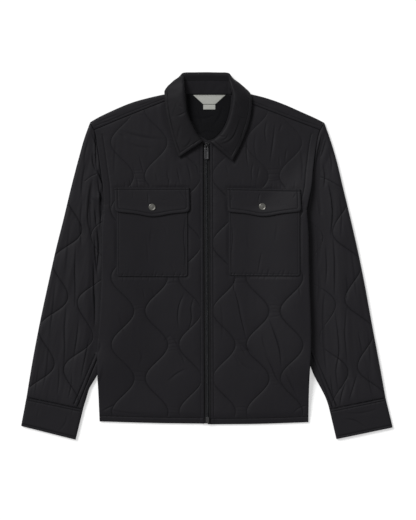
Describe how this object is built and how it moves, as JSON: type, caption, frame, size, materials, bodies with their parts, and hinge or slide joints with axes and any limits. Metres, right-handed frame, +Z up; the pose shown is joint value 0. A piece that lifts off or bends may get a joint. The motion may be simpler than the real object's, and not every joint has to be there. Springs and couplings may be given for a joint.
{
  "type": "quilted jacket",
  "caption": "Quilted shirt jacket laid flat on its back, with a zipped front, turn-down collar, flapped chest pockets and plain cuffs",
  "frame": {"origin": "middle of the bounding box's underside, on the surface that the jacket lies on", "axes": "+X towards the wearer's left, +Y from hem to collar, +Z up, out of the jacket's front"},
  "size_m": [0.8, 0.79, 0.0299],
  "materials": {
    "quilted_shell": "fine matt black nylon with a soft sheen, wadded and quilted in wavy lines",
    "plain_shell": "the same nylon, unquilted and topstitched",
    "lining": "smooth dark lining",
    "label": "pale woven label, bare",
    "zip_tape": "woven black zip tape",
    "zip_teeth": "black coil teeth",
    "zip_metal": "dark gunmetal",
    "snap_metal": "brushed gunmetal press stud cap"
  },
  "bodies": {
    "jacket": {"back": "quilted_shell", "yoke": "plain_shell", "front_right": "quilted_shell", "front_left": "quilted_shell", "sleeve_right": "quilted_shell", "sleeve_left": "quilted_shell", "cuff_right": "plain_shell", "cuff_left": "plain_shell", "collar_stand": "plain_shell", "collar_leaf": "plain_shell", "pocket_right": "plain_shell", "pocket_left": "plain_shell", "flap_right": "plain_shell", "flap_left": "plain_shell", "snap_right": "snap_metal", "snap_left": "snap_metal", "neck_lining": "lining", "neck_label": "label", "size_tab": "label", "zip_tape_right": "zip_tape", "zip_tape_left": "zip_tape", "zip_chain": "zip_teeth", "zip_slider": "zip_metal", "zip_box": "zip_metal"},
    "pull": {"zip_pull": "zip_metal"}
  },
  "joints": [
    {"name": "pull_hinge", "type": "hinge", "parent": "jacket", "child": "pull", "pos_m": [-0.0011, 0.2374, 0.0116], "axis": [-1, 0, 0], "range_deg": [0, 150]}
  ]
}
